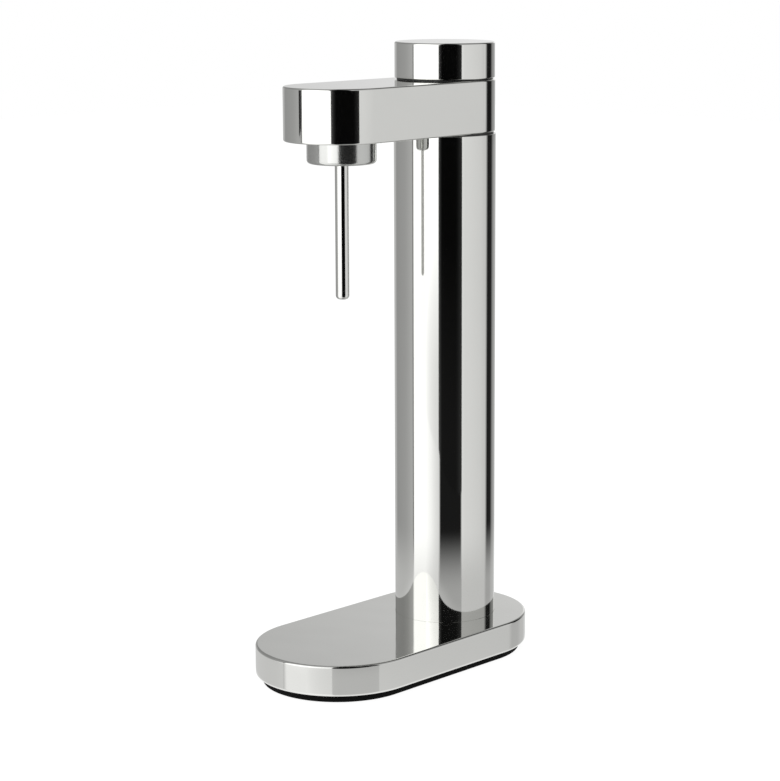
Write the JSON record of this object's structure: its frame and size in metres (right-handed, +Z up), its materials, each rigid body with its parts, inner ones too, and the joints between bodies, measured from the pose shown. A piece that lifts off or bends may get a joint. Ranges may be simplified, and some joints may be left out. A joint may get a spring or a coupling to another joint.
{
  "type": "sparkling water maker",
  "caption": "Slim column sparkling water maker: oval base, overhead arm with bottle collar and nozzle, turning knob on top, gas cylinder inside the column.",
  "frame": {"origin": "centre of the footprint, on the surface that the machine stands on", "axes": "+Z up along the column; the arm and the nozzle point towards -Y; the column stands at y = +52 mm"},
  "size_m": [0.1126, 0.2166, 0.42],
  "materials": {
    "polished_steel": "mirror-polished stainless steel",
    "machined_steel": "turned and lightly brushed",
    "weight_iron": "black-coated casting",
    "brass": "machined",
    "foot_rubber": "matt black rubber",
    "seal_rubber": "smooth black rubber",
    "seal_silicone": "milky silicone",
    "black_plastic": "fine moulded texture",
    "white_plastic": "moulded acetal",
    "cylinder_paint": "satin grey powder coat",
    "hose_nylon": "smooth natural nylon"
  },
  "bodies": {
    "stand": {"foot_pad": "foot_rubber", "base_shell": "polished_steel", "base_weight": "weight_iron", "column_flange": "machined_steel", "cylinder_guide": "black_plastic", "column_tube": "polished_steel", "head_ring": "black_plastic", "head_shell": "polished_steel", "head_plate": "polished_steel", "base_screw_1": "machined_steel", "base_screw_2": "machined_steel", "base_screw_3": "machined_steel", "base_screw_4": "machined_steel", "head_screw_1": "machined_steel", "head_screw_2": "machined_steel", "head_screw_3": "machined_steel", "head_screw_4": "machined_steel", "valve_block": "brass", "socket_gasket": "seal_rubber", "plunger_seal": "seal_rubber", "plunger_spring": "machined_steel", "block_screw_1": "machined_steel", "block_screw_2": "machined_steel", "block_screw_3": "machined_steel", "block_screw_4": "machined_steel", "spindle_bush": "brass", "bush_locknut": "machined_steel", "knob_glide_ring": "black_plastic", "knob_return_spring": "machined_steel", "bottle_collar": "polished_steel", "collar_nut": "brass", "bottle_insert": "black_plastic", "mouth_seal": "seal_silicone", "nozzle_holder": "white_plastic", "nozzle_tube": "polished_steel", "nozzle_ring": "machined_steel", "nozzle_tip": "polished_steel", "inlet_elbow": "brass", "gas_hose": "hose_nylon", "hose_ferrule_rear": "machined_steel", "hose_ferrule_front": "machined_steel", "relief_body": "brass", "relief_spring": "machined_steel", "relief_cap": "brass"},
    "knob": {"cam_spindle": "machined_steel", "knob_core": "white_plastic", "knob_washer": "machined_steel", "knob_screw": "machined_steel", "knob_cap": "polished_steel"},
    "plunger": {"valve_plunger": "machined_steel"},
    "relief_poppet": {"relief_poppet": "machined_steel"},
    "cylinder": {"gas_cylinder": "cylinder_paint", "cylinder_valve": "brass", "cylinder_pin_spring": "machined_steel"},
    "pin": {"cylinder_pin": "machined_steel"}
  },
  "joints": [
    {"name": "knob_turn", "type": "hinge", "parent": "stand", "child": "knob", "pos_m": [0, 0.052, 0.4], "axis": [0, 0, 1], "range_deg": [0, 60], "stiffness_Nm_per_rad": 0.25, "springref_deg": -8.59},
    {"name": "plunger_slide", "type": "slide", "parent": "stand", "child": "plunger", "axis": [0, 0, -1], "range_m": [0, 0.0025], "deforming": ["plunger_spring"]},
    {"name": "relief_lift", "type": "slide", "parent": "stand", "child": "relief_poppet", "axis": [0, 0, 1], "range_m": [0, 0.0012], "stiffness_N_per_m": 500, "springref_m": -0.0005, "deforming": ["relief_spring"]},
    {"name": "cylinder_removal", "type": "slide", "parent": "stand", "child": "cylinder", "axis": [0, 0, -1], "range_m": [0, 0.36]},
    {"name": "pin_slide", "type": "slide", "parent": "cylinder", "child": "pin", "axis": [0, 0, -1], "range_m": [0, 0.0023], "deforming": ["cylinder_pin_spring"]}
  ],
  "couplings": [
    {"joint": "plunger_slide", "follows": "knob_turn", "m_per_rad": 0.002387},
    {"joint": "pin_slide", "follows": "knob_turn", "m_per_rad": 0.002196}
  ]
}
